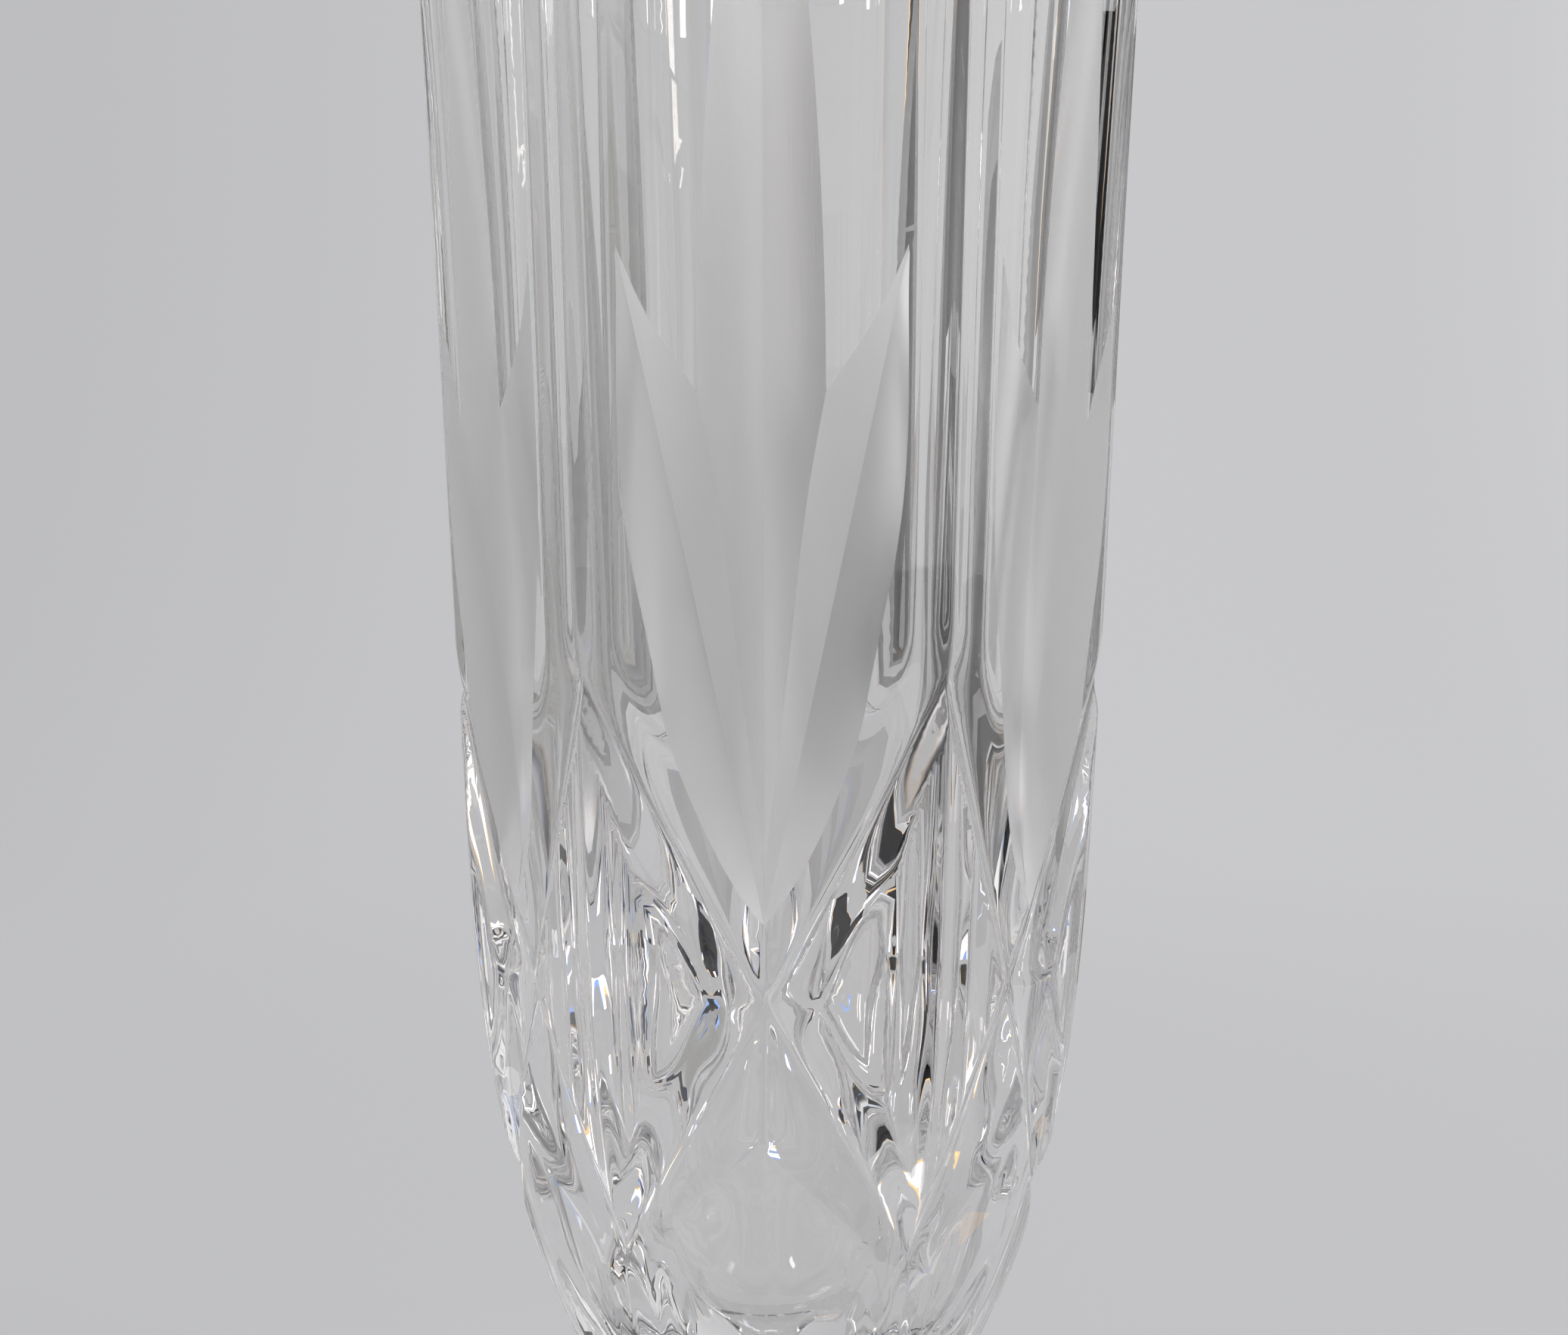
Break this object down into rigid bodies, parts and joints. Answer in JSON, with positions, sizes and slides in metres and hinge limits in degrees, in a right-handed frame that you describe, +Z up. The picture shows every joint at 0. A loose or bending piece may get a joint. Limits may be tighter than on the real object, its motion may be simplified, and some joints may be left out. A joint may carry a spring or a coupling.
{
  "type": "footed cut crystal vase",
  "caption": "Tall footed vase of clear cut crystal, with fans of satin cuts over crossed polished cuts on flat panels, for holding flowers.",
  "frame": {"origin": "centre of the ring the foot stands on, on the table plane", "axes": "+Z up along the vase axis, -Y out through the middle of one fan panel"},
  "size_m": [0.1048, 0.1048, 0.275],
  "materials": {
    "bowl_crystal": "polished lead crystal, fan cuts left satin",
    "knop_crystal": "polished lead crystal",
    "foot_crystal": "polished lead crystal"
  },
  "bodies": {
    "root": {"bowl": "bowl_crystal", "knop": "knop_crystal", "foot": "foot_crystal"}
  },
  "joints": []
}
